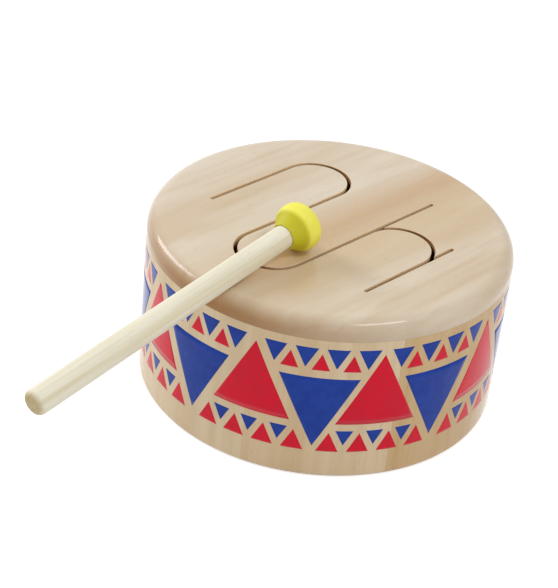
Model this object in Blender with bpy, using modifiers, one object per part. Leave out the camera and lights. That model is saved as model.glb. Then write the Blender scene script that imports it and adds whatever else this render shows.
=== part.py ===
"""Tongue drum with its mallet, in metres, +Z up.

The origin is the centre of the drum's underside. X runs along the slots and the grain of the top board.
"""

import bmesh
import bpy
import numpy as np
from math import asin, atan2, cos, pi, radians, sin, sqrt

# Overall sizes of the drum
DRUM_DIAMETER = 0.150
DRUM_HEIGHT = 0.072

# Top board
PLATE_THICKNESS = 0.008
RIM_ROUNDING = 0.0065

# Wall of upright blocks
STAVE_COUNT = 16
STAVE_TURN = radians(-1.4)  # where the first joint lies, from +X
WALL_THICKNESS = 0.015
FOOT_ROUNDING = 0.0012

# Bottom board, inset flush with the wall's foot
BASE_THICKNESS = 0.006

# Slots that free three tongues side by side, each margin measured in from the chamber's edge
SLOT_WIDTH = 0.0016
SIDE_MARGIN = 0.01665  # to the outer slots, across the grain; the others run along it
ROOT_MARGIN = 0.0142  # to the ends of the slots beside each tongue's root
REAR_TIP_MARGIN = 0.01955
MIDDLE_TIP_MARGIN = 0.01025
FRONT_TIP_MARGIN = 0.03145
FRONT_SLOT_MARGIN = 0.0182  # to the far end of the front slot, which runs on past its tongue's tip
SLOT_SHIFT = -0.00085  # how far the whole pattern sits off the middle, across the grain

# Mallet
HEAD_DIAMETER = 0.0197
DOME_DEPTH = 0.0055  # the head's far side, measured from its widest place
DOME_FULLNESS = 2.9  # 2 is an ellipse, more is boxier
NEAR_DEPTH = 0.0122  # the near side's full depth, were it not cut off at the mouth of the bore
NEAR_FULLNESS = 1.43
MOUTH_LIP = 0.0002  # the ring left round the bore
NECK_DIAMETER = 0.0094  # the stick in the head, from where it widens evenly to its free end
STICK_DIAMETER = 0.0101
STICK_LENGTH = 0.1412
STICK_END_ROUNDING = 0.0020
BORE_DEPTH = 0.0105
MALLET_X = -0.0276  # the head's widest place over the plate
MALLET_Y = -0.00635
MALLET_HEADING = radians(184.6)  # from the head towards the free end

# Fits
GLUE_GAP = 0.0003  # between glued faces, and between the mallet and what it lies on

# How finely round shapes are cut
TURNS_PER_STAVE = 8
ROUNDING_STEPS = 6
EDGE_STEPS = 3
SLOT_ARC_STEPS = 20
SLOT_END_STEPS = 6
STICK_SIDES = 40
HEAD_SIDES = 48
DOME_STEPS = 14
NEAR_STEPS = 12
CUT_OVERSHOOT = 0.002  # how far a cutter passes the face it cuts
MERGE_DISTANCE = 0.00001

RUBBERWOOD = (0.66, 0.51, 0.35)
MAPLE = (0.74, 0.63, 0.47)
YELLOW_PAINT = (0.78, 0.74, 0.09)

drum_radius = DRUM_DIAMETER / 2
wall_top = DRUM_HEIGHT - PLATE_THICKNESS - GLUE_GAP
wall_inner = drum_radius - WALL_THICKNESS
tongue_pitch = (wall_inner - SIDE_MARGIN) * 2 / 3
mouth_radius = NECK_DIAMETER / 2 + GLUE_GAP + MOUTH_LIP
mouth_turn = asin((mouth_radius / (HEAD_DIAMETER / 2)) ** (NEAR_FULLNESS / 2))
mouth_run = NEAR_DEPTH * cos(mouth_turn) ** (2 / NEAR_FULLNESS)
stick_start = mouth_run - BORE_DEPTH + GLUE_GAP
stick_end = stick_start + STICK_LENGTH
turned_steps = STAVE_COUNT * TURNS_PER_STAVE


def clear_scene():
    for obj in list(bpy.data.objects):
        bpy.data.objects.remove(obj, do_unlink=True)


def new_collection(name):
    collection = bpy.data.collections.new(name)
    bpy.context.scene.collection.children.link(collection)
    return collection


def new_material(name, colour, roughness):
    material = bpy.data.materials.new(name)
    material.use_nodes = True
    shader = material.node_tree.nodes["Principled BSDF"]
    shader.inputs["Base Color"].default_value = (*colour, 1)
    shader.inputs["Roughness"].default_value = roughness
    shader.inputs["Metallic"].default_value = 0
    return material


def add_object(name, data, collection, material=None):
    obj = bpy.data.objects.new(name, data)
    collection.objects.link(obj)
    if material:
        data.materials.append(material)
    return obj


def hide_cutter(obj):
    obj.hide_render = True
    obj.display_type = "WIRE"
    return obj


def shade_round(obj, sharp_degrees=35):
    obj.data.shade_smooth()
    obj.data.set_sharp_from_angle(angle=radians(sharp_degrees))


def turned(name, profile, collection, material, axis="Z", steps=turned_steps):
    """A closed profile of (radius, height) points, listed down its outer side, turned once round."""
    mesh = bpy.data.meshes.new(name)
    if axis == "Z":
        points = [(radius, 0, height) for radius, height in profile]
    else:
        points = [(height, radius, 0) for radius, height in profile]
    edges = [(index, index + 1) for index in range(len(points) - 1)]
    if profile[0][0] > 0:
        edges.append((len(points) - 1, 0))
    mesh.from_pydata(points, edges, [])
    obj = add_object(name, mesh, collection, material)
    screw = obj.modifiers.new("turn", "SCREW")
    screw.axis = axis
    screw.steps = steps
    screw.render_steps = steps
    screw.use_merge_vertices = True
    screw.merge_threshold = MERGE_DISTANCE
    screw.use_smooth_shade = True
    return obj


def arc(centre_x, centre_y, radius, start, end, steps):
    """Points on a circle from one angle to another, in degrees, both ends included."""
    return [
        (centre_x + radius * cos(radians(angle)), centre_y + radius * sin(radians(angle)))
        for angle in np.linspace(start, end, steps + 1)
    ]


def cut(obj, cutter, operation="DIFFERENCE"):
    boolean = obj.modifiers.new(cutter.name, "BOOLEAN")
    boolean.operation = operation
    boolean.solver = "EXACT"
    boolean.object = cutter


def prism(name, outline, low, high, collection):
    """A filled 2D curve round (x, y) points, extruded from low to high and made a closed mesh."""
    curve = bpy.data.curves.new(name, "CURVE")
    curve.dimensions = "2D"
    curve.fill_mode = "BOTH"
    curve.extrude = (high - low) / 2
    spline = curve.splines.new("POLY")
    spline.points.add(len(outline) - 1)
    for point, (x, y) in zip(spline.points, outline):
        point.co = (x, y, 0, 1)
    spline.use_cyclic_u = True
    guide = add_object(name + "_outline", curve, collection)
    guide.location.z = (high + low) / 2
    bpy.context.view_layer.update()
    evaluated = guide.evaluated_get(bpy.context.evaluated_depsgraph_get())
    mesh = bpy.data.meshes.new_from_object(evaluated)
    solid = bmesh.new()
    solid.from_mesh(mesh)
    bmesh.ops.remove_doubles(solid, verts=solid.verts, dist=MERGE_DISTANCE)
    bmesh.ops.recalc_face_normals(solid, faces=solid.faces)
    solid.to_mesh(mesh)
    solid.free()
    obj = hide_cutter(add_object(name, mesh, collection))
    obj.matrix_world = guide.matrix_world
    bpy.data.objects.remove(guide)
    return obj


def slot_outline(path, width):
    """The outline of a slot of this width round an open path, with half-round ends."""
    points = np.array(path)
    along = np.gradient(points, axis=0)
    along /= np.hypot(along[:, 0], along[:, 1])[:, None]
    across = np.stack([-along[:, 1], along[:, 0]], axis=1) * width / 2
    heading = [np.degrees(atan2(y, x)) for x, y in (along[0], along[-1])]
    end_cap = arc(*points[-1], width / 2, heading[1] + 90, heading[1] - 90, SLOT_END_STEPS)
    start_cap = arc(*points[0], width / 2, heading[0] - 90, heading[0] - 270, SLOT_END_STEPS)
    left = [tuple(point) for point in points + across]
    right = [tuple(point) for point in points - across]
    return left[:-1] + end_cap + right[-2:0:-1] + start_cap[:-1]


def straight(start, end, steps=4):
    return [tuple(point) for point in np.linspace(start, end, steps + 1)]


def joined(*runs):
    """One path from runs that each start where the last one ends."""
    path = list(runs[0])
    for run in runs[1:]:
        path += run[1:]
    return path


def chamber_reach(across):
    """How far the chamber runs along the grain from its middle, at this distance across the grain."""
    return sqrt(wall_inner**2 - across**2)


def serpentine_path():
    """Rear slot, round the rear tongue's tip, back, round the middle tongue's tip, and out again."""
    inner = tongue_pitch / 2
    outer = inner + tongue_pitch
    rear_root = -(chamber_reach(outer) - ROOT_MARGIN)
    rear_tip = chamber_reach(tongue_pitch) - REAR_TIP_MARGIN - inner
    middle_tip = -(wall_inner - MIDDLE_TIP_MARGIN - inner)
    middle_root = chamber_reach(inner) - ROOT_MARGIN
    return joined(
        straight((rear_root, outer), (rear_tip, outer)),
        arc(rear_tip, tongue_pitch, inner, 90, -90, SLOT_ARC_STEPS),
        straight((rear_tip, inner), (middle_tip, inner)),
        arc(middle_tip, 0, inner, 90, 270, SLOT_ARC_STEPS),
        straight((middle_tip, -inner), (middle_root, -inner)),
    )


def front_slot_path():
    outer = tongue_pitch * 3 / 2
    reach = chamber_reach(outer)
    return straight((ROOT_MARGIN - reach, -outer), (reach - FRONT_SLOT_MARGIN, -outer))


def front_tip_path():
    inner = tongue_pitch / 2
    front_tip = chamber_reach(tongue_pitch) - FRONT_TIP_MARGIN - inner
    return arc(front_tip, -tongue_pitch, inner, 90, -90, SLOT_ARC_STEPS)


def make_tongue_plate(parts, cutters, wood):
    """The top board: a disc with a rounded upper rim, cut through by the slots."""
    under = DRUM_HEIGHT - PLATE_THICKNESS
    rim = arc(drum_radius - RIM_ROUNDING, DRUM_HEIGHT - RIM_ROUNDING, RIM_ROUNDING, 90, 0, ROUNDING_STEPS)
    plate = turned("tongue_plate", [(0, DRUM_HEIGHT), *rim, (drum_radius, under), (0, under)], parts, wood)
    shade_round(plate)
    low = under - CUT_OVERSHOOT
    high = DRUM_HEIGHT + CUT_OVERSHOOT
    paths = {
        "slot_serpentine": serpentine_path(),
        "slot_front": front_slot_path(),
        "slot_front_tip": front_tip_path(),
    }
    for name, path in paths.items():
        outline = [(x, y + SLOT_SHIFT) for x, y in slot_outline(path, SLOT_WIDTH)]
        cut(plate, prism(name, outline, low, high, cutters))


def stave_profile():
    foot = arc(drum_radius - FOOT_ROUNDING, FOOT_ROUNDING, FOOT_ROUNDING, 0, -90, EDGE_STEPS)
    return [(wall_inner, wall_top), (drum_radius, wall_top), *foot, (wall_inner, 0)]


def stave_wedge(number, collection):
    """The slice of the wall between two joints, drawn in by half the glue gap on both sides."""
    step = 2 * pi / STAVE_COUNT
    middle = STAVE_TURN + (number - 0.5) * step
    reach = drum_radius / cos(step / 2) + CUT_OVERSHOOT
    half_gap = GLUE_GAP / 2
    apex = half_gap / sin(step / 2)
    corners = [(apex, 0)]
    for side in (-1, 1):
        corners.append((reach, side * ((reach - apex) * sin(step / 2) / cos(step / 2))))
    outline = [(x * cos(middle) - y * sin(middle), x * sin(middle) + y * cos(middle)) for x, y in corners]
    return prism(f"wedge_{number:02d}", outline, -CUT_OVERSHOOT, DRUM_HEIGHT, collection)


def make_wall(parts, cutters, wood):
    """One turned ring for each stave, which keeps only its own slice of it."""
    for number in range(1, STAVE_COUNT + 1):
        stave = turned(f"wall_stave_{number:02d}", stave_profile(), parts, wood)
        stave.rotation_euler.z = STAVE_TURN
        cut(stave, stave_wedge(number, cutters), "INTERSECT")
        shade_round(stave)


def make_base_disc(parts, wood):
    radius = wall_inner - GLUE_GAP
    outline = [(0, BASE_THICKNESS), (radius, BASE_THICKNESS), (radius, 0), (0, 0)]
    base = turned("base_disc", outline, parts, wood)
    shade_round(base)


def head_side(depth, fullness, turns):
    """One side of the head's outline as (radius, place along the stick), for turns measured from the axis."""
    widest = HEAD_DIAMETER / 2
    return [(widest * sin(turn) ** (2 / fullness), depth * abs(cos(turn)) ** (2 / fullness)) for turn in turns]


def head_outline(finer=1):
    """Half the head's outline, from the tip of its dome to the mouth of the bore."""
    far_turns = np.linspace(0, pi / 2, DOME_STEPS * finer + 1)
    near_turns = np.linspace(pi / 2, mouth_turn, NEAR_STEPS * finer + 1)[1:]
    far_side = head_side(-DOME_DEPTH, DOME_FULLNESS, far_turns)
    near_side = head_side(NEAR_DEPTH, NEAR_FULLNESS, near_turns)
    return [*far_side, *near_side, (0, mouth_run)]


def stick_radius(run):
    """The stick's radius this far from the head's widest place."""
    places = [mouth_run, stick_end - STICK_END_ROUNDING]
    return np.interp(run, places, [NECK_DIAMETER / 2, STICK_DIAMETER / 2])


def head_drop(tilt):
    """How far the head's lowest point lies below its axis when the stick points down by this angle."""
    return max(radius * cos(tilt) + place * sin(tilt) for radius, place in head_outline(finer=5))


def rim_clearance(tilt):
    """The space between the stick and the drum's rounded rim, less the gap kept there."""
    run = np.linspace(mouth_run, stick_end, 2000)
    rise = DRUM_HEIGHT + GLUE_GAP + head_drop(tilt) - run * sin(tilt)
    x = MALLET_X + run * cos(tilt) * cos(MALLET_HEADING)
    y = MALLET_Y + run * cos(tilt) * sin(MALLET_HEADING)
    beyond = np.hypot(x, y) - (drum_radius - RIM_ROUNDING)
    above = rise - (DRUM_HEIGHT - RIM_ROUNDING)
    distance = np.where(beyond > 0, np.hypot(beyond, above) - RIM_ROUNDING, above - RIM_ROUNDING)
    return (distance - stick_radius(run)).min() - GLUE_GAP


def resting_tilt():
    """The angle at which the head lies on the plate and the stick on the rim, found by halving."""
    low = 0
    high = radians(30)
    for _ in range(40):
        middle = (low + high) / 2
        if rim_clearance(middle) > 0:
            low = middle
        else:
            high = middle
    return low


def make_mallet(parts, cutters, wood, paint):
    """The mallet's own X runs from the head's widest place to the stick's free end."""
    tilt = resting_tilt()
    lift = bpy.data.objects.new("mallet_lift", None)
    parts.objects.link(lift)
    lift.location = (MALLET_X, MALLET_Y, DRUM_HEIGHT + GLUE_GAP + head_drop(tilt))
    lift.rotation_euler = (0, tilt, MALLET_HEADING)

    radius = STICK_DIAMETER / 2
    rounding = STICK_END_ROUNDING
    end = arc(stick_end - rounding, radius - rounding, rounding, 0, 90, ROUNDING_STEPS)
    neck = [(NECK_DIAMETER / 2, mouth_run), (NECK_DIAMETER / 2, stick_start), (0, stick_start)]
    profile = [(0, stick_end), *[(r, x) for x, r in end], *neck]
    stick = turned("mallet_stick", profile, parts, wood, axis="X", steps=STICK_SIDES)
    stick.parent = lift
    shade_round(stick)

    head = turned("mallet_head", head_outline()[::-1], parts, paint, axis="X", steps=HEAD_SIDES)
    head.parent = lift
    bore_radius = NECK_DIAMETER / 2 + GLUE_GAP
    bore_start = mouth_run - BORE_DEPTH
    bore_end = mouth_run + CUT_OVERSHOOT
    bore_profile = [(0, bore_end), (bore_radius, bore_end), (bore_radius, bore_start), (0, bore_start)]
    bore = hide_cutter(turned("head_bore", bore_profile, cutters, None, axis="X", steps=STICK_SIDES))
    bore.parent = lift
    cut(head, bore)
    shade_round(head)


def build():
    clear_scene()
    parts = new_collection("tongue_drum")
    cutters = new_collection("cutters")
    plate_wood = new_material("clear lacquered rubberwood board", RUBBERWOOD, 0.35)
    wall_wood = new_material("clear lacquered rubberwood staves", RUBBERWOOD, 0.35)
    base_wood = new_material("sanded rubberwood board", RUBBERWOOD, 0.6)
    stick_wood = new_material("sanded maple dowel", MAPLE, 0.5)
    head_paint = new_material("satin yellow paint", YELLOW_PAINT, 0.35)
    make_tongue_plate(parts, cutters, plate_wood)
    make_wall(parts, cutters, wall_wood)
    make_base_disc(parts, base_wood)
    make_mallet(parts, cutters, stick_wood, head_paint)


build()
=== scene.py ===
import math

import bmesh
import bpy
import numpy as np
from mathutils import Matrix, Vector


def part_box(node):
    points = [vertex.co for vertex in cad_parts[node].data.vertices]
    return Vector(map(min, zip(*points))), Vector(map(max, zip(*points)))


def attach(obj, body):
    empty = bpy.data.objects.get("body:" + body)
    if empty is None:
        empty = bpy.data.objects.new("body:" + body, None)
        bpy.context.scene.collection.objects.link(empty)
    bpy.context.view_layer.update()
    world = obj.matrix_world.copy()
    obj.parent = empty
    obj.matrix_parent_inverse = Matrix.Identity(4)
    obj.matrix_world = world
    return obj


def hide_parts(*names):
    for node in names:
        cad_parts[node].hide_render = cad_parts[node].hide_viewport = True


# A child's round wooden tongue drum, with a triangle border round its wall and its mallet lying across it.
# Sizes that the CAD frame holds are read from it. The others were measured on the photograph.
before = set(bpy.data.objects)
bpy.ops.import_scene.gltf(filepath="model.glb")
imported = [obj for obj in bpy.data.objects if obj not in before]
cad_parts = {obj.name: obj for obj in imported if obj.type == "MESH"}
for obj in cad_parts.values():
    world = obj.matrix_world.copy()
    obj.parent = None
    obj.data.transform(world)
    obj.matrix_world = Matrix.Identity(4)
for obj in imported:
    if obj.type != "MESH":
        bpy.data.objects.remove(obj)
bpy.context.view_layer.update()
mm = 0.001
fullTurn = 2 * math.pi
noiseRoughness = 0.6  # how much each finer layer of a noise counts
# Noise gathers round 0.5, so a mask is stretched over the middle of its range
cloudRange = {"From Min": 0.35, "From Max": 0.65}
fibreRange = {"From Min": 0.3, "From Max": 0.7}
print("frame loaded:", len(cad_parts), "nodes")


def hexColour(code):
    # sRGB to linear: a share up to 0.04045 is divided by 12.92, and a higher one becomes
    # ((share + 0.055) / 1.055) ** 2.4
    shares = np.frombuffer(bytes.fromhex(code[1:]), np.uint8) / 255
    linear = np.where(shares <= 0.04045, shares / 12.92, ((shares + 0.055) / 1.055) ** 2.4)
    return (*linear.tolist(), 1.0)


def addNode(tree, kind, inputs=None, **settings):
    # settings are the node's own properties, and inputs hold a value or a socket to link for each input.
    # A colour Mix takes its factor at 0 and its two colours at 6 and 7, and gives its result at output 2.
    node = tree.nodes.new(kind)
    for name, value in settings.items():
        setattr(node, name, value)
    for key, value in (inputs or {}).items():
        if isinstance(value, bpy.types.NodeSocket):
            tree.links.new(value, node.inputs[key])
        else:
            node.inputs[key].default_value = value
    return node


def newMaterial(name, look):
    # A Principled material with the look's plain numbers on the shader's own sockets
    material = bpy.data.materials.new(name)
    material.use_nodes = True
    shader = material.node_tree.nodes["Principled BSDF"]
    for socket, value in look["shader"].items():
        shader.inputs[socket].default_value = value
    return material, material.node_tree, shader


def grainNoise(tree, source, lengthMm, widthMm, detail):
    # Noise whose blobs are about this long along the grain and this wide across it
    scale = (1 / (lengthMm * mm), 1 / (widthMm * mm), 1 / (widthMm * mm))
    drawnOut = addNode(tree, "ShaderNodeMapping", {"Vector": source, "Scale": scale})
    inputs = {"Vector": drawnOut.outputs[0], "Scale": 1.0, "Detail": detail, "Roughness": noiseRoughness}
    return addNode(tree, "ShaderNodeTexNoise", inputs)


def bandMask(tree, coordinate, middle, full, reach, strength):
    # strength where |coordinate - middle| is up to full, falling smoothly to 0 at reach
    aside = addNode(tree, "ShaderNodeMath", {0: coordinate, 1: middle}, operation="SUBTRACT")
    aside = addNode(tree, "ShaderNodeMath", {0: aside.outputs[0]}, operation="ABSOLUTE")
    inputs = {"Value": aside.outputs[0], "From Min": reach, "From Max": full, "To Max": strength}
    return addNode(tree, "ShaderNodeMapRange", inputs, interpolation_type="SMOOTHSTEP").outputs[0]


def addFibres(tree, shader, place, look, pores=None):
    # Fibres take the roughness from glossy to dull with their noise, and the surface's height is
    # relief * (fibre noise - pores)
    fibres = grainNoise(tree, place, *look["fibres"])
    dull, glossy = look["roughness"]
    inputs = {"Value": fibres.outputs["Fac"], **fibreRange, "To Min": glossy, "To Max": dull}
    rough = addNode(tree, "ShaderNodeMapRange", inputs)
    tree.links.new(rough.outputs[0], shader.inputs["Roughness"])
    height = fibres.outputs["Fac"]
    if pores is not None:
        inputs = {0: pores, 1: -1.0, 2: height}
        height = addNode(tree, "ShaderNodeMath", inputs, operation="MULTIPLY_ADD").outputs[0]
    inputs = {"Height": height, "Distance": look["relief"] * mm, "Strength": 1.0}
    bump = addNode(tree, "ShaderNodeBump", inputs)
    tree.links.new(bump.outputs[0], shader.inputs["Normal"])


def makeWood(name, look):
    # Wood as layers of noise drawn out along the grain, X in its coordinates, each laid over the last one
    # through its own mask, then darker where the surface cuts across the grain, and pores last of all
    material, tree, shader = newMaterial(name, look)
    texture = addNode(tree, "ShaderNodeTexCoord")
    start = texture.outputs["Object"]
    if look["grainAttribute"]:
        start = addNode(tree, "ShaderNodeAttribute", attribute_name="grain").outputs["Vector"]

    # The grain wanders from side to side: place + wander * (noise colour - 0.5), across the grain only
    reach = look["wander"] * mm
    drift = grainNoise(tree, start, look["wanderLength"], look["wanderLength"] / 3, 1.0)
    inputs = {0: drift.outputs["Color"], 1: (0, reach, reach), 2: start}
    moved = addNode(tree, "ShaderNodeVectorMath", inputs, operation="MULTIPLY_ADD")
    inputs = {0: moved.outputs[0], 1: (0, reach / 2, reach / 2)}
    place = addNode(tree, "ShaderNodeVectorMath", inputs, operation="SUBTRACT").outputs[0]

    colour = hexColour(look["ground"])
    for code, lengthMm, widthMm, detail, low, high, strength in look["layers"]:
        noise = grainNoise(tree, place, lengthMm, widthMm, detail)
        inputs = {"Value": noise.outputs["Fac"], "From Min": low, "From Max": high, "To Max": strength}
        mask = addNode(tree, "ShaderNodeMapRange", inputs, interpolation_type="SMOOTHSTEP")
        inputs = {0: mask.outputs[0], 6: colour, 7: hexColour(code)}
        colour = addNode(tree, "ShaderNodeMix", inputs, data_type="RGBA").outputs[2]

    # Tone that varies from one glued block to the next, from a point attribute
    if look["toneColour"]:
        tone = addNode(tree, "ShaderNodeAttribute", attribute_name="tone").outputs["Fac"]
        inputs = {0: tone, 6: colour, 7: hexColour(look["toneColour"])}
        colour = addNode(tree, "ShaderNodeMix", inputs, data_type="RGBA", blend_type="MULTIPLY").outputs[2]

    # Single bands and streaks: strongest on their middle line, falling smoothly to 0 at their width and ends
    axes = addNode(tree, "ShaderNodeSeparateXYZ", {0: place})
    for code, across, width, middle, length, strength in look["streaks"]:
        narrow = bandMask(tree, axes.outputs[1], across * mm, 0.0, width * mm, strength)
        limited = bandMask(tree, axes.outputs[0], middle * mm, length * mm / 2, length * mm, 1.0)
        mask = addNode(tree, "ShaderNodeMath", {0: narrow, 1: limited}, operation="MULTIPLY")
        inputs = {0: mask.outputs[0], 6: colour, 7: hexColour(code)}
        colour = addNode(tree, "ShaderNodeMix", inputs, data_type="RGBA").outputs[2]

    # End grain soaks up the finish and turns darker, and a look may set this colour darker still as painted
    # shade: mask = (normal . grain direction) squared
    inputs = {0: texture.outputs["Normal"], 1: look["grainDirection"]}
    facing = addNode(tree, "ShaderNodeVectorMath", inputs, operation="DOT_PRODUCT")
    inputs = {0: facing.outputs["Value"], 1: facing.outputs["Value"]}
    ends = addNode(tree, "ShaderNodeMath", inputs, operation="MULTIPLY")
    inputs = {0: ends.outputs[0], 6: colour, 7: hexColour(look["endGrain"])}
    colour = addNode(tree, "ShaderNodeMix", inputs, data_type="RGBA", blend_type="MULTIPLY").outputs[2]

    # Pores: the highest peaks of a fine noise
    code, lengthMm, widthMm, low, high, strength = look["pores"]
    poreNoise = grainNoise(tree, place, lengthMm, widthMm, 0.0)
    inputs = {"Value": poreNoise.outputs["Fac"], "From Min": low, "From Max": high, "To Max": strength}
    pores = addNode(tree, "ShaderNodeMapRange", inputs, interpolation_type="SMOOTHSTEP")
    inputs = {0: pores.outputs[0], 6: colour, 7: hexColour(code)}
    colour = addNode(tree, "ShaderNodeMix", inputs, data_type="RGBA").outputs[2]
    tree.links.new(colour, shader.inputs["Base Color"])
    addFibres(tree, shader, place, look, pores.outputs[0])

    # Lacquer flows out nearly level: slow, very low waves about a centimetre across
    if look["lacquerWaves"]:
        acrossMm, heightMm = look["lacquerWaves"]
        waves = grainNoise(tree, texture.outputs["Object"], acrossMm, acrossMm, 1.0)
        inputs = {"Height": waves.outputs["Fac"], "Distance": heightMm * mm, "Strength": 1.0}
        flow = addNode(tree, "ShaderNodeBump", inputs)
        tree.links.new(flow.outputs[0], shader.inputs["Coat Normal"])
    return material


def makeCoating(name, look):
    # An opaque colour laid on wood: slightly uneven in density, with the fibres under it faintly in relief.
    # A painted shade, where given, is a darker copy of the colour that stands in for shade, fading in
    # between two places along the first axis.
    material, tree, shader = newMaterial(name, look)
    start = addNode(tree, "ShaderNodeAttribute", attribute_name="grain").outputs["Vector"]
    cloud = grainNoise(tree, start, look["cloud"], look["cloud"], 2.0)
    inputs = {"Value": cloud.outputs["Fac"], **cloudRange}
    mask = addNode(tree, "ShaderNodeMapRange", inputs, interpolation_type="SMOOTHSTEP")
    inputs = {0: mask.outputs[0], 6: hexColour(look["colour"]), 7: hexColour(look["thin"])}
    colour = addNode(tree, "ShaderNodeMix", inputs, data_type="RGBA").outputs[2]
    # Painted shade: a darker colour laid over one end of the piece where shade falls
    if look["paintedShade"]:
        code, low, high = look["paintedShade"]
        axes = addNode(tree, "ShaderNodeSeparateXYZ", {0: start})
        inputs = {"Value": axes.outputs[0], "From Min": low * mm, "From Max": high * mm}
        mask = addNode(tree, "ShaderNodeMapRange", inputs, interpolation_type="SMOOTHSTEP")
        inputs = {0: mask.outputs[0], 6: colour, 7: hexColour(code)}
        colour = addNode(tree, "ShaderNodeMix", inputs, data_type="RGBA").outputs[2]
    tree.links.new(colour, shader.inputs["Base Color"])
    addFibres(tree, shader, start, look)
    return material


def arcPoints(centre, radius, start, end, steps):
    # centre + radius * (cos angle, sin angle), with the angles evenly spaced from start to end in degrees
    angles = np.radians(np.linspace(start, end, steps + 1))
    return np.column_stack([centre[0] + radius * np.cos(angles), centre[1] + radius * np.sin(angles)])


def gridFaces(rows, columns, closedRows=False, closedColumns=False):
    # Each point of a rows by columns grid is joined to its right, upper right and upper neighbour as one
    # quad. A closed direction joins its last line of points to its first.
    row, column = np.indices((rows if closedRows else rows - 1, columns if closedColumns else columns - 1))
    upper, right = (row + 1) % rows, (column + 1) % columns
    low, high = row * columns, upper * columns
    return np.stack([low + column, low + right, high + right, high + column], -1).reshape(-1, 4).tolist()


def endCaps(rows, columns):
    # One face over the first ring of points, facing back, and one over the last ring
    first = list(range(columns))
    return [first[::-1], [(rows - 1) * columns + index for index in first]]


def turnedPoints(profile, turns, origin=np.zeros(3), axes=np.eye(3)):
    # origin + radius * (cos turn * first axis + sin turn * second axis) + height * third axis, for each
    # (radius, height) of the profile, a row, and each turn, a column
    radius, height = np.asarray(profile, float).T[:, :, None, None]
    around = np.cos(turns)[:, None] * axes[0] + np.sin(turns)[:, None] * axes[1]
    return origin + radius * around + height * axes[2]


def makePiece(name, points, faces, materials, smoothBelow=35):
    # Points joined by faces into an object at the origin, smooth but for edges sharper than smoothBelow, in
    # degrees
    mesh = bpy.data.meshes.new(name)
    mesh.from_pydata(points.reshape(-1, 3).tolist(), [], faces)
    for material in materials:
        mesh.materials.append(material)
    mesh.shade_smooth()
    mesh.set_sharp_from_angle(angle=math.radians(smoothBelow))
    piece = bpy.data.objects.new(name, mesh)
    bpy.context.scene.collection.objects.link(piece)
    return piece


def evenTurns(sides):
    # fullTurn * index / sides
    return np.linspace(0, fullTurn, sides, endpoint=False)


def turnedPiece(name, profile, sides, materials, origin=np.zeros(3), axes=np.eye(3)):
    # The profile carried once round the third axis, with a flat face over its first and its last ring
    faces = gridFaces(len(profile), sides, closedColumns=True) + endCaps(len(profile), sides)
    return makePiece(name, turnedPoints(profile, evenTurns(sides), origin, axes), faces, materials)


def addAttribute(piece, name, values):
    # One number or one vector for each point of the piece
    values = np.asarray(values, np.float32)
    kind, field = ("FLOAT_VECTOR", "vector") if values.shape[-1] == 3 else ("FLOAT", "value")
    piece.data.attributes.new(name, kind, "POINT").data.foreach_set(field, values.ravel())


def joinFrame(piece, body, slotName, *nodes):
    # The piece stands for these CAD nodes, if any, and moves with this body. slotName is not used.
    if nodes:
        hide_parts(*nodes)
    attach(piece, body)


def nodePoints(name):
    # A CAD node's corners as rows of x, y, z, each once, because its triangles are loose
    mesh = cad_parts[name].data
    points = np.empty(len(mesh.vertices) * 3)
    mesh.vertices.foreach_get("co", points)
    return np.unique(points.reshape(-1, 3).round(7), axis=0)


plateLow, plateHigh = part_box("tongue_plate")
discLow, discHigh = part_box("base_disc")
drumRadius, plateTop, plateUnder = plateHigh.x, plateHigh.z, plateLow.z
glueGap = 0.3 * mm  # what the CAD model leaves between glued pieces
chamberRadius = discHigh.x + glueGap

# The same clear lacquer lies over the board, the blocks and the printed inks. Its IOR is kept under the 1.5
# of a real one, and lowest on the wall, so that it whitens the wall's far sides but hardly the front.
lacquer = {
    "IOR": 1.5,
    "Specular IOR Level": 0.1,
    "Coat Weight": 1.0,
    "Coat Roughness": 0.12,
    "Coat IOR": 1.3,
}
wallLacquer = {**lacquer, "Specular IOR Level": 0.05, "Coat IOR": 1.2}

# Top board
boardLook = {  # rubberwood board, sanded and clear lacquered: pale straight grain under an even satin gloss
    "shader": lacquer,
    "grainAttribute": False,
    "grainDirection": (1, 0, 0),
    "wander": 4,  # mm that the grain wanders from side to side, and over what length
    "wanderLength": 150,
    "ground": "#E0D0B9",
    # colour, blob length and width in mm, detail, noise where the mask starts and is full, strength
    "layers": [
        ("#CFB38C", 230, 24, 1.0, 0.40, 0.66, 0.45),  # slow bands, tens of mm wide
        ("#E8DCC8", 70, 15, 2.0, 0.48, 0.70, 0.45),  # clouds of paler and darker figure
        ("#CBAF88", 55, 11, 2.0, 0.50, 0.74, 0.32),
        ("#C6A87F", 120, 3.6, 2.0, 0.54, 0.78, 0.20),  # growth streaks, 3 to 5 mm wide
        ("#CBB28B", 30, 1.1, 1.5, 0.48, 0.78, 0.13),  # fibres, really 0.1 mm wide, drawn at 1 mm to show
    ],
    "toneColour": None,
    "streaks": [  # colour, y, half width, middle and half length along x in mm, strength
        ("#D2B383", -21.0, 27.0, 30, 130, 0.50),
        ("#C9A476", -4.0, 16.5, 10, 110, 0.70),
        ("#C3A47A", -54.0, 2.4, 2, 42, 0.30),
        ("#C3A47A", -63.0, 3.0, 4, 40, 0.25),
        ("#CDB189", 35.0, 3.5, 15, 60, 0.30),
        ("#CDB189", -14.5, 6.0, 30, 70, 0.35),
        ("#CDAC80", -38.0, 9.0, 50, 40, 0.42),
    ],
    # the end grain's own darkening, made darker still as painted shade on the rim's rounding
    "endGrain": "#C29862",
    # vessels, really 0.2 mm wide and 1 to 5 mm long, given as a layer is but without detail
    "pores": ("#A98B62", 4.0, 0.5, 0.70, 0.84, 0.20),
    "fibres": (24, 0.6, 2.0),  # length and width in mm, and detail
    "roughness": (0.50, 0.40),
    "relief": 0.006,  # mm
    "lacquerWaves": (11, 0.012),  # mm across and high
}
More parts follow.
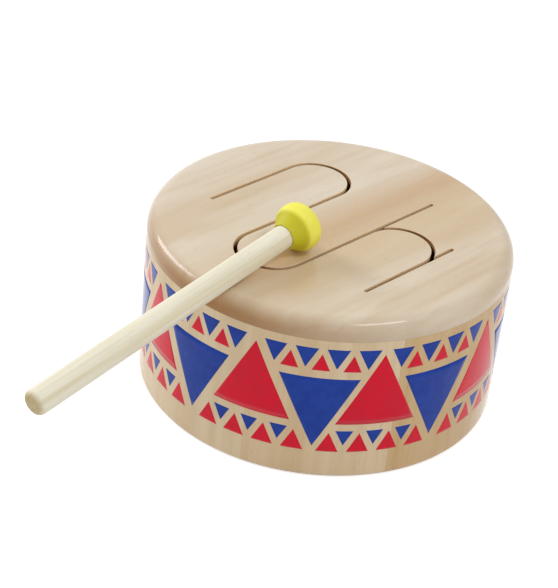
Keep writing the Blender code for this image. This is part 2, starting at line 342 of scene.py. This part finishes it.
kerfLook = {  # rubberwood as the saw left it: raw, a little browned by the blade, and without gloss
    **boardLook,
    "shader": {"IOR": 1.5, "Coat Weight": 0.0},
    "ground": "#EACFA8",
    "layers": [("#D3B186", 30, 1.2, 2.0, 0.45, 0.65, 0.5)],
    "streaks": [],
    "endGrain": "#B48C5A",
    "roughness": (0.85, 0.7),
    "relief": 0.05,
    "lacquerWaves": None,
}
plateShape = {
    "rimRounding": 6.5 * mm,
    "lowerEase": 0.05 * mm,
    "rimSteps": 24,
    "turnSteps": 384,
    "slotWidth": 1.6 * mm,
    "slotEase": 0.25 * mm,  # rounding of the slots' upper edges
    "easeSteps": 6,
    "easeTurn": 78,  # degrees of that rounding before it runs out straight above the face
    "cutterRise": 0.05 * mm,
    "cutterDrop": 2 * mm,
    "arcSteps": 32,
    "endSteps": 8,
    # margins from the chamber's edge
    "side": 16.65 * mm,
    "root": 14.2 * mm,
    "rearTip": 19.55 * mm,
    "middleTip": 10.25 * mm,
    "frontTip": 31.45 * mm,
    "frontEnd": 18.2 * mm,
    "slotShift": -0.85 * mm,  # of the whole pattern, across the grain
}


def slotPaths(shape):
    # Four slots along the grain, at odd halves of the pitch across it, joined by half circles round the
    # tongues' tips. reach is how far the chamber runs along the grain: sqrt(radius ^ 2 - across ^ 2).
    pitch = (chamberRadius - shape["side"]) * 2 / 3
    inner, outer, steps = pitch / 2, pitch * 3 / 2, shape["arcSteps"]
    reach = np.sqrt(chamberRadius**2 - np.array([inner, pitch, outer]) ** 2)
    rearTip = reach[1] - shape["rearTip"] - inner
    frontTip = reach[1] - shape["frontTip"] - inner
    middleTip = inner + shape["middleTip"] - chamberRadius
    root = shape["root"] - reach[2]
    serpentine = np.vstack([
        [[root, outer]],
        arcPoints((rearTip, pitch), inner, 90, -90, steps),
        arcPoints((middleTip, 0), inner, 90, 270, steps),
        [[reach[0] - shape["root"], -inner]],
    ])
    front = np.array([[root, -outer], [reach[2] - shape["frontEnd"], -outer]])
    tip = arcPoints((frontTip, -pitch), inner, 90, -90, steps)
    return [path + (0, shape["slotShift"]) for path in (serpentine, front, tip)]


def slotOutline(path, reach, endSteps):
    # Points to the left of the path at this reach, a half circle round its end, the same on the way back
    # and a half circle round its start, turned to run anticlockwise
    step = np.diff(path, axis=0)
    step /= np.hypot(*step.T)[:, None]
    along = np.vstack([step[:1], step[:-1] + step[1:], step[-1:]])
    along /= np.hypot(*along.T)[:, None]
    across = np.column_stack([-along[:, 1], along[:, 0]]) * reach
    heading = np.degrees(np.arctan2(along[:, 1], along[:, 0]))
    endArc = arcPoints(path[-1], reach, heading[-1] + 90, heading[-1] - 90, endSteps)
    startArc = arcPoints(path[0], reach, heading[0] - 90, heading[0] - 270, endSteps)
    left, right = path + across, path - across
    return np.vstack([left[1:-1], endArc, right[-2:0:-1], startArc])[::-1]


def makeCutter(path, shape, materials):
    # The outline at half the slot's width up to the easing, then outwards by ease * (1 - cos turn) and up
    # by ease * sin turn, and on along the last slope until it stands above the board
    ease, half = shape["slotEase"], shape["slotWidth"] / 2
    turn = np.radians(np.linspace(0, shape["easeTurn"], shape["easeSteps"] + 1))
    out = half + ease * (1 - np.cos(turn))
    up = plateTop - ease + ease * np.sin(turn)
    last = plateTop + shape["cutterRise"] - up[-1]
    out = np.concatenate([[half], out, [out[-1] + last * math.tan(turn[-1])]])
    up = np.concatenate([[plateUnder - shape["cutterDrop"]], up, [plateTop + shape["cutterRise"]]])
    rings = np.array([slotOutline(path, reach, shape["endSteps"]) for reach in out])
    rows, columns = rings.shape[:2]
    points = np.concatenate([rings, np.broadcast_to(up[:, None, None], (rows, columns, 1))], axis=2)
    faces = gridFaces(rows, columns, closedColumns=True) + endCaps(rows, columns)
    cutter = makePiece("slotCutter", points, faces, materials)
    cutter.data.polygons.foreach_set("material_index", np.ones(len(faces), np.int32))
    return cutter


def makePlate(shape, materials):
    # Its profile: a small ease at the wall line, straight up, and a quarter circle to the top face. Both
    # faces are flat, and the slots' cutters are taken out of it.
    rim, ease = shape["rimRounding"], shape["lowerEase"]
    lower = [(drumRadius - ease, plateUnder), (drumRadius, plateUnder + ease)]
    upper = arcPoints((drumRadius - rim, plateTop - rim), rim, 0, 90, shape["rimSteps"])
    plate = turnedPiece("tonguePlate", np.vstack([lower, upper]), shape["turnSteps"], materials)
    cutters = [makeCutter(path, shape, materials) for path in slotPaths(shape)]
    for cutter in cutters:
        boolean = plate.modifiers.new("slot", "BOOLEAN")
        boolean.object, boolean.operation, boolean.solver = cutter, "DIFFERENCE", "EXACT"
    weighted = plate.modifiers.new("normals", "WEIGHTED_NORMAL")
    weighted.keep_sharp = True
    graph = bpy.context.evaluated_depsgraph_get()
    finished = bpy.data.meshes.new_from_object(plate.evaluated_get(graph), depsgraph=graph)
    plate.modifiers.clear()
    plate.data = finished
    for cutter in cutters:
        bpy.data.objects.remove(cutter)
    joinFrame(plate, "drum", "plate_wood", "tongue_plate")


board = makeWood("clear lacquered rubberwood board", boardLook)
kerf = makeWood("raw sawn rubberwood", kerfLook)
makePlate(plateShape, [board, kerf])
print("top board made")

# Wall of glued blocks
blockLook = {  # rubberwood blocks, glued up, turned, sanded and clear lacquered: their tones differ
    **boardLook,
    "shader": wallLacquer,
    "grainAttribute": True,
    "grainDirection": (0, 0, 1),
    "wander": 3,
    "wanderLength": 70,
    "ground": "#E8D3B1",
    "layers": [
        ("#D2B78C", 160, 9, 1.0, 0.42, 0.66, 0.35),
        ("#C8AB80", 90, 3.0, 2.0, 0.52, 0.76, 0.22),
        ("#CDB48C", 30, 1.0, 1.5, 0.46, 0.74, 0.14),
    ],
    "toneColour": "#ECDCC2",
    "streaks": [],
}
wallShape = {
    "footRounding": 1.2 * mm,
    "footSteps": 8,
    "topEase": 0.05 * mm,
    "topSteps": 3,
    "topGap": 0.01 * mm,
    "jointGap": 0.015 * mm,
    "columns": 24,
    # how tan each block is, from the block after +X and round anticlockwise
    "tones": [0.35, 0.6, 0.2, 0.5, 0.75, 0.3, 0.45, 0.1, 0.05, 0.4, 0.15, 0.85, 0.85, 0.45, 0.55, 0.25],
    "streaks": [(-110.2, 1.6, 0.3)],  # degrees from +X, half width in degrees, extra tone
    "grainShift": 0.37,  # metres from one block's grain to the next, so that each has a figure of its own
}


def makeStave(number, shape, material):
    # A closed profile, out and up from the foot, in along the top and down the inside, carried round one
    # block, whose tone is its own plus extra * exp(-(degrees from the streak / width) ^ 2)
    name = f"wall_stave_{number:02d}"
    middle = math.atan2(*nodePoints(name).mean(axis=0)[1::-1])
    halfStep = math.pi / len(shape["tones"]) - shape["jointGap"] / drumRadius
    top, foot, ease = plateUnder - shape["topGap"], shape["footRounding"], shape["topEase"]
    profile = np.vstack([
        arcPoints((drumRadius - foot, foot), foot, -90, 0, shape["footSteps"]),
        arcPoints((drumRadius - ease, top - ease), ease, 0, 90, shape["topSteps"]),
        [(chamberRadius, top), (chamberRadius, 0)],
    ])
    turns = np.linspace(middle - halfStep, middle + halfStep, shape["columns"] + 1)
    points = turnedPoints(profile, turns)
    rows, columns = points.shape[:2]
    ring = np.arange(rows) * columns
    faces = gridFaces(rows, columns, closedRows=True) + [ring.tolist(), (ring[::-1] + columns - 1).tolist()]
    stave = makePiece(f"wallStave{number:02d}", points, faces, [material])
    shift = number * shape["grainShift"]
    along = points[..., 2] + shift
    across = np.broadcast_to((turns - middle) * drumRadius + shift, (rows, columns))
    depth = np.hypot(points[..., 0], points[..., 1])
    addAttribute(stave, "grain", np.stack([along, across, depth], -1).reshape(-1, 3))
    tone = np.full((rows, columns), shape["tones"][number - 1])
    for angle, width, extra in shape["streaks"]:
        offset = (np.degrees(turns) - angle + 180) % 360 - 180
        tone = tone + extra * np.exp(-((offset / width) ** 2))
    addAttribute(stave, "tone", tone.reshape(-1))
    joinFrame(stave, "drum", "wall_wood", name)


blocks = makeWood("clear lacquered rubberwood blocks", blockLook)
for staveNumber in range(1, len(wallShape["tones"]) + 1):
    makeStave(staveNumber, wallShape, blocks)
print("wall made")

# Bottom board
bottomLook = {  # the same rubberwood, sanded and left bare, so without gloss
    **boardLook,
    "shader": {"IOR": 1.5, "Coat Weight": 0.0},
    "roughness": (0.75, 0.6),
    "relief": 0.03,
    "lacquerWaves": None,
}
bottomShape = {"edgeEase": 0.4 * mm, "edgeSteps": 4, "turnSteps": 192, "extraRadius": 0.25 * mm}


def makeBottom(shape, material):
    # A disc with eased edges, a little wider than the CAD one, so that it nearly meets the wall all round
    radius = discHigh.x + shape["extraRadius"]
    low, high, ease = discLow.z, discHigh.z, shape["edgeEase"]
    lower = arcPoints((radius - ease, low + ease), ease, -90, 0, shape["edgeSteps"])
    upper = arcPoints((radius - ease, high - ease), ease, 0, 90, shape["edgeSteps"])
    disc = turnedPiece("bottomDisc", np.vstack([lower, upper]), shape["turnSteps"], [material])
    joinFrame(disc, "drum", "base_wood", "base_disc")


makeBottom(bottomShape, makeWood("bare sanded rubberwood board", bottomLook))
print("bottom board made")

# Printed border
inkLook = {  # screen ink between the wood and the lacquer: flat, dense colour with the wall's own gloss
    "shader": wallLacquer,
    "paintedShade": None,
    "cloud": 6,
    "fibres": (24, 0.6, 2.0),
    "roughness": (0.55, 0.45),
    "relief": 0.006,
}
redInkLook = {**inkLook, "colour": "#E2082C", "thin": "#DA1030"}
blueInkLook = {**inkLook, "colour": "#133A9A", "thin": "#1A41A2"}
borderShape = {
    # The printed strip was wound on by hand and laps a little near the front, so the first six centres
    # are measured, in degrees from +X, blue and red in turn, and the others are spaced evenly
    "measuredCentres": [-177.59, -157.39, -137.69, -119.24, -99.99, -79.39],
    "unitCount": 18,  # big triangles round the wall
    "smallPitch": 9.2,  # degrees from one small triangle to the next
    "proud": 0.03 * mm,
    "thickness": 0.05 * mm,
    "mergeDistance": 0.001 * mm,
    "columns": 24,
    "rows": 12,
    # half width in degrees, then the heights of the base and the tip in mm
    "bigRed": (12.3, 25.7, 58.1),
    "bigBlue": (12.0, 46.9, 14.7),
    "upperBlue": (3.4, 60.3, 51.4),
    "upperRed": (2.7, 50.4, 57.9),
    "lowerRed": (3.4, 12.4, 21.5),
    "lowerBlue": (2.7, 22.5, 15.6),
}


def makeBorder(name, slotName, rows, shape, material):
    # Each triangle is a grid of across, 0 to 1, and up, 0 to 1, on a cylinder just proud of the wall. Its
    # turn is centre + half width * (2 * across - 1) * (1 - up) and its height base + (tip - base) * up.
    centres = np.concatenate([centreAngles for centreAngles, size in rows])
    sizes = np.vstack([np.tile(size, (len(centreAngles), 1)) for centreAngles, size in rows])
    halfWidth, base, tip = sizes.T[:, :, None, None]
    upSteps = np.linspace(0, 1, shape["rows"] + 1)
    acrossSteps = np.linspace(0, 1, shape["columns"] + 1)
    up, across = np.meshgrid(upSteps, acrossSteps, indexing="ij")
    side = np.where(tip > base, 1, -1)  # a hanging triangle runs the other way, to face outwards too
    turn = np.radians(centres[:, None, None] + side * halfWidth * (2 * across - 1) * (1 - up))
    height = (base + (tip - base) * up) * mm
    radius = drumRadius + shape["proud"]
    points = np.stack([radius * np.cos(turn), radius * np.sin(turn), height], -1)
    count, gridRows, gridColumns = turn.shape
    quads = np.array(gridFaces(gridRows, gridColumns))
    faces = (quads + np.arange(count)[:, None, None] * gridRows * gridColumns).reshape(-1, 4).tolist()
    border = makePiece(name, points, faces, [material])
    grain = np.stack([height, turn * drumRadius, np.full(turn.shape, radius)], -1)
    addAttribute(border, "grain", grain.reshape(-1, 3))
    merged = bmesh.new()
    merged.from_mesh(border.data)
    bmesh.ops.remove_doubles(merged, verts=merged.verts, dist=shape["mergeDistance"])
    merged.to_mesh(border.data)
    merged.free()
    film = border.modifiers.new("film", "SOLIDIFY")
    film.thickness, film.offset = shape["thickness"], -1.0
    joinFrame(border, "drum", slotName)


measured = np.array(borderShape["measuredCentres"])
evenCount = borderShape["unitCount"] - len(measured)
evenSteps = np.arange(1, evenCount + 1) / (evenCount + 1)
unitCentres = np.concatenate([measured, measured[-1] + (measured[0] + 360 - measured[-1]) * evenSteps])
blueUnits, redUnits = unitCentres[0::2], unitCentres[1::2]
fourAside = np.array([-1.5, -0.5, 0.5, 1.5]) * borderShape["smallPitch"]
threeAside = np.array([-1, 0, 1]) * borderShape["smallPitch"]
redRows = [
    (redUnits, borderShape["bigRed"]),
    (np.add.outer(blueUnits, threeAside).ravel(), borderShape["upperRed"]),
    (np.add.outer(redUnits, fourAside).ravel(), borderShape["lowerRed"]),
]
blueRows = [
    (blueUnits, borderShape["bigBlue"]),
    (np.add.outer(blueUnits, fourAside).ravel(), borderShape["upperBlue"]),
    (np.add.outer(redUnits, threeAside).ravel(), borderShape["lowerBlue"]),
]
redInk = makeCoating("red screen ink under lacquer", redInkLook)
blueInk = makeCoating("blue screen ink under lacquer", blueInkLook)
makeBorder("redBorder", "red_border", redRows, borderShape, redInk)
makeBorder("blueBorder", "blue_border", blueRows, borderShape, blueInk)
print("border made")

# Mallet. Its axis is the long direction of the stick's points, from the bead to the free end, and its origin
# lies on that axis where the bead is widest.
stickPoints, beadPoints = nodePoints("mallet_stick"), nodePoints("mallet_head")
beadMiddle, stickMiddle = beadPoints.mean(axis=0), stickPoints.mean(axis=0)
malletAxis = np.linalg.svd(stickPoints - stickMiddle, full_matrices=False)[2][0]
malletAxis *= np.sign(malletAxis @ (stickMiddle - beadMiddle))
malletSide = np.cross((0, 0, 1), malletAxis)
malletSide /= np.linalg.norm(malletSide)
malletAxes = np.array([malletSide, np.cross(malletAxis, malletSide), malletAxis])
domeDepth = 5.5 * mm  # of the bead's far side, measured from its widest place
rimDepth = 0.1 * mm  # the stick's points this near its bored end lie on its neck
beadOrigin = stickMiddle + malletAxis * (((beadPoints - stickMiddle) @ malletAxis).min() + domeDepth)
stickRun = (stickPoints - beadOrigin) @ malletAxis
stickReach = np.linalg.norm(np.cross(stickPoints - beadOrigin, malletAxis), axis=1)
stickRadius, neckRadius = stickReach.max(), stickReach[stickRun < stickRun.min() + rimDepth].max()
mouthRun = ((beadPoints - beadOrigin) @ malletAxis).max()
beadRadius = np.linalg.norm(np.cross(beadPoints - beadOrigin, malletAxis), axis=1).max()

stickLook = {  # a maple dowel, sanded and left bare: cream, fine grained, nearly matt
    "shader": {"IOR": 1.5, "Coat Weight": 0.0},
    "grainAttribute": True,
    "grainDirection": tuple(malletAxis),
    "wander": 0.8,
    "wanderLength": 60,
    "ground": "#F5EFD8",
    "layers": [
        ("#DCCB9F", 150, 3.4, 1.5, 0.47, 0.66, 0.55),  # warm bands
        ("#E6DCC0", 60, 2.4, 1.5, 0.42, 0.62, 0.5),
        ("#E0D3AE", 70, 1.4, 2.0, 0.52, 0.76, 0.35),  # growth streaks
        ("#F8F3E4", 50, 1.0, 2.0, 0.55, 0.75, 0.4),
    ],
    "toneColour": None,
    "streaks": [],
    "endGrain": "#D9CBA8",
    "pores": ("#B5A27A", 4.0, 0.4, 0.72, 0.86, 0.3),
    "fibres": (16, 0.5, 2.0),
    "roughness": (0.62, 0.5),
    "relief": 0.02,
    "lacquerWaves": None,
}
beadLook = {  # a turned wooden bead dipped in satin enamel: even lemon yellow with a soft broad gloss
    "shader": {"IOR": 1.5, "Specular IOR Level": 0.4, "Coat Weight": 0.0},
    "colour": "#FCF662",
    "thin": "#F8F156",
    "paintedShade": ("#CDC51C", 2.4, 4.4),  # painted shade on the near face round the stick, fading in between these places in mm
    "cloud": 5,
    "fibres": (4, 3, 1.0),
    "roughness": (0.60, 0.52),
    "relief": 0.01,
}
malletShape = {
    "stickSides": 96,
    "stickRows": 60,
    "freeEndRounding": 2.2 * mm,
    "roundingSteps": 8,
    "boredEndEase": 0.4 * mm,
    "fullness": 2.9,  # of the bead's dome, where 2 is an ellipse and more is boxier
    "ridge": (8.9 * mm, 3.5 * mm),  # radius and place of the ridge between the barrel and the near face
    "mouth": (5.3 * mm, 8.75 * mm),  # radius and place where that face runs into the bore's lip
    "hollow": 0.35 * mm,  # how far the face is dished
    "ridgeSpread": 0.9 * mm,  # how softly the ridge is rounded
    "lipRounding": 0.3 * mm,
    "lipSteps": 6,
    "beadSides": 128,
    "beadSteps": 40,
    "poleTurn": 0.02,  # radians from the dome's pole to its first ring, which a small face closes
    "finePoints": 4,  # points worked out on the near side for each one kept
    "boreDepth": 10.5 * mm,
    "boreCentre": 0.5 * mm,  # radius of the last ring on the bore's bottom
}


def malletPiece(name, node, slotName, profile, sides, material):
    # The profile carried round the mallet's axis. Its grain attribute holds the same points with that axis
    # as X.
    piece = turnedPiece(name, profile, sides, [material], beadOrigin, malletAxes)
    plain = turnedPoints(profile, evenTurns(sides))
    addAttribute(piece, "grain", plain[..., [2, 0, 1]].reshape(-1, 3))
    joinFrame(piece, "mallet", slotName, node)


def makeStick(shape, material):
    # Its profile: a small ease at the bored end, straight to the bead's mouth, widening evenly from there,
    # and a quarter circle to the flat free end
    start, end = stickRun.min(), stickRun.max()
    ease, rounding = shape["boredEndEase"], shape["freeEndRounding"]
    taper = np.linspace(mouthRun, end - rounding, shape["stickRows"], endpoint=False)
    widening = np.linspace(neckRadius, stickRadius, shape["stickRows"], endpoint=False)
    profile = np.vstack([
        [(neckRadius - ease, start), (neckRadius, start + ease)],
        np.column_stack([widening, taper]),
        arcPoints((stickRadius - rounding, end - rounding), rounding, 0, 90, shape["roundingSteps"]),
    ])
    malletPiece("malletStick", "mallet_stick", "stick_wood", profile, shape["stickSides"], material)


def makeBead(shape, material):
    # Outside, a dome where (along / depth) ^ fullness + (radius / widest) ^ fullness = 1, a barrel on the
    # ellipse through the widest place and the ridge, and a face dished as a parabola from the ridge to the
    # mouth, both smoothed by a bell curve. Then an eased lip, and inside it the bore and its flat bottom.
    turn = np.linspace(shape["poleTurn"], math.pi / 2, shape["beadSteps"])
    power = 2 / shape["fullness"]
    far = np.column_stack([beadRadius * np.sin(turn) ** power, -domeDepth * np.cos(turn) ** power])
    (ridgeRadius, ridgePlace), (lastRadius, lastPlace) = shape["ridge"], shape["mouth"]
    fine = shape["finePoints"]
    place = np.linspace(0, lastPlace, fine * shape["beadSteps"])
    share = np.clip((place - ridgePlace) / (lastPlace - ridgePlace), 0, 1)
    narrowing = 1 - (ridgeRadius / beadRadius) ** 2
    barrel = beadRadius * np.sqrt(1 - np.minimum(place / ridgePlace, 1) ** 2 * narrowing)
    face = ridgeRadius + (lastRadius - ridgeRadius) * share - 4 * shape["hollow"] * share * (1 - share)
    radius = np.where(place < ridgePlace, barrel, face)
    bell = np.exp(-(((place[:, None] - place) / shape["ridgeSpread"]) ** 2))
    line = radius[0] + (radius[-1] - radius[0]) * place / lastPlace
    keep = np.minimum(1, np.minimum(place, lastPlace - place) / shape["ridgeSpread"])
    smooth = (bell @ (radius - line)) / bell.sum(axis=1) + line
    near = np.column_stack([radius + keep * (smooth - radius), place])[fine::fine]
    inwards, onwards = near[-1] - near[-2]
    slope = math.atan2(-inwards, onwards)
    ease = shape["lipRounding"]
    lipCentre = near[-1] - ease * np.array((math.cos(slope), math.sin(slope)))
    lip = arcPoints(lipCentre, ease, math.degrees(slope), 180, shape["lipSteps"])[1:]
    bottom = mouthRun - shape["boreDepth"]
    profile = np.vstack([far, near, lip, [(lip[-1, 0], bottom), (shape["boreCentre"], bottom)]])
    malletPiece("malletBead", "mallet_head", "head_paint", profile, shape["beadSides"], material)


makeStick(malletShape, makeWood("bare sanded maple dowel", stickLook))
makeBead(malletShape, makeCoating("satin yellow enamel", beadLook))
print("mallet made")

# Studio
studio = {
    "floorSize": 30.0,
    "floorDrop": 0.1 * mm,
    "floorColour": "#E6E6E6",
    "floorShader": {"Roughness": 0.9, "Specular IOR Level": 0.2},
    "floorGlow": 0.52,  # added where the camera or a reflection sees the floor, so that it shows white
    "ambient": 0.545,  # the world's level on matt surfaces
    "aimHeight": 36 * mm,
    # azimuth from +X, elevation, distance, width, height, turn of the panel and power
    "lamps": {
        "rearSoftbox": (107.5, 31.5, 1.06, 0.60, 0.24, 46, 4.2),
        "frontSoftbox": (-88, 61, 1.0, 0.40, 0.12, 0, 2.2),
        "fillSoftbox": (-125, 25, 1.4, 0.60, 0.60, 0, 0.9),
    },
}


def whiteToCamera(tree):
    # 1 for a ray from the camera, a reflection or glass, and 0 for light falling on matt surfaces
    path = addNode(tree, "ShaderNodeLightPath")
    inputs = {0: path.outputs["Is Camera Ray"], 1: path.outputs["Is Glossy Ray"]}
    seen = addNode(tree, "ShaderNodeMath", inputs, operation="MAXIMUM")
    inputs = {0: seen.outputs[0], 1: path.outputs["Is Transmission Ray"]}
    return addNode(tree, "ShaderNodeMath", inputs, operation="MAXIMUM").outputs[0]


def makeFloor(values):
    # A square under the drum that glows only where the camera or a reflection sees it
    look = {"shader": {"Base Color": hexColour(values["floorColour"]), **values["floorShader"]}}
    material, tree, shader = newMaterial("matt white studio paper", look)
    shader.inputs["Emission Color"].default_value = (1, 1, 1, 1)
    inputs = {0: whiteToCamera(tree), 1: values["floorGlow"]}
    glow = addNode(tree, "ShaderNodeMath", inputs, operation="MULTIPLY")
    tree.links.new(glow.outputs[0], shader.inputs["Emission Strength"])
    half = values["floorSize"] / 2
    corners = np.array([(-half, -half), (half, -half), (half, half), (-half, half)])
    points = np.column_stack([corners, np.full(4, -values["floorDrop"])])
    floor = makePiece("studioFloor", points, [[0, 1, 2, 3]], [material])


def makeWorld(values):
    # White to the camera and to reflections, and the ambient level to matt surfaces
    world = bpy.data.worlds.new("studio")
    bpy.context.scene.world = world
    world.use_nodes = True
    tree = world.node_tree
    inputs = {"Value": whiteToCamera(tree), "To Min": values["ambient"], "To Max": 1.0}
    level = addNode(tree, "ShaderNodeMapRange", inputs)
    background = tree.nodes["Background"]
    background.inputs["Color"].default_value = (1, 1, 1, 1)
    tree.links.new(level.outputs[0], background.inputs["Strength"])


def makeLamp(name, azimuth, elevation, distance, width, height, roll, power, aim):
    # A panel at aim + distance * (cos azimuth * cos elevation, sin azimuth * cos elevation, sin elevation),
    # facing the aim and turned by roll about the line to it
    turn, rise = math.radians(azimuth), math.radians(elevation)
    out = Vector((math.cos(turn) * math.cos(rise), math.sin(turn) * math.cos(rise), math.sin(rise)))
    data = bpy.data.lights.new(name, "AREA")
    data.shape, data.size, data.size_y, data.energy = "RECTANGLE", width, height, power
    lamp = bpy.data.objects.new(name, data)
    bpy.context.scene.collection.objects.link(lamp)
    facing = out.to_track_quat("Z", "Y").to_matrix().to_4x4() @ Matrix.Rotation(math.radians(roll), 4, "Z")
    lamp.matrix_world = Matrix.Translation(aim + out * distance) @ facing


makeFloor(studio)
makeWorld(studio)
for lampName, lampValues in studio["lamps"].items():
    makeLamp(lampName, *lampValues, Vector((0, 0, studio["aimHeight"])))
print("studio made")

# Camera, from a pinhole fit to the drum's outline, the border's corners and the slots
cameraValues = {
    "place": np.array((-451.462, -383.247, 414.273)) * mm,
    "azimuth": 42.11,  # of its view direction, from +X
    "down": 32.70,
    "roll": 6.151,
    "focalPixels": 1681.71,
    "frame": (558, 588),
    "sensorWidth": 36,  # mm
    "clip": (0.01, 60),  # m
}


def makeCamera(values):
    # forward is (cos azimuth * cos down, sin azimuth * cos down, -sin down), and right is the level line
    # across it, turned by roll. The lens is sensor width * focal pixels / the frame's longer side.
    azimuth, down, roll = (math.radians(values[key]) for key in ("azimuth", "down", "roll"))
    forward = np.array((math.cos(azimuth), math.sin(azimuth), 0)) * math.cos(down) - (0, 0, math.sin(down))
    level = np.array((math.sin(azimuth), -math.cos(azimuth), 0))
    upright = np.cross(level, forward)
    right = math.cos(roll) * level + math.sin(roll) * upright
    up = np.cross(right, forward)
    data = bpy.data.cameras.new("photoCamera")
    data.sensor_width = values["sensorWidth"]
    data.lens = values["focalPixels"] / max(values["frame"]) * data.sensor_width
    data.clip_start, data.clip_end = values["clip"]
    camera = bpy.data.objects.new("photoCamera", data)
    bpy.context.scene.collection.objects.link(camera)
    turned = np.eye(4)
    turned[:3] = np.column_stack([right, up, -forward, values["place"]])
    camera.matrix_world = Matrix(turned.tolist())
    bpy.context.scene.camera = camera


makeCamera(cameraValues)
bpy.context.scene.view_settings.view_transform = "Standard"
print("camera set")
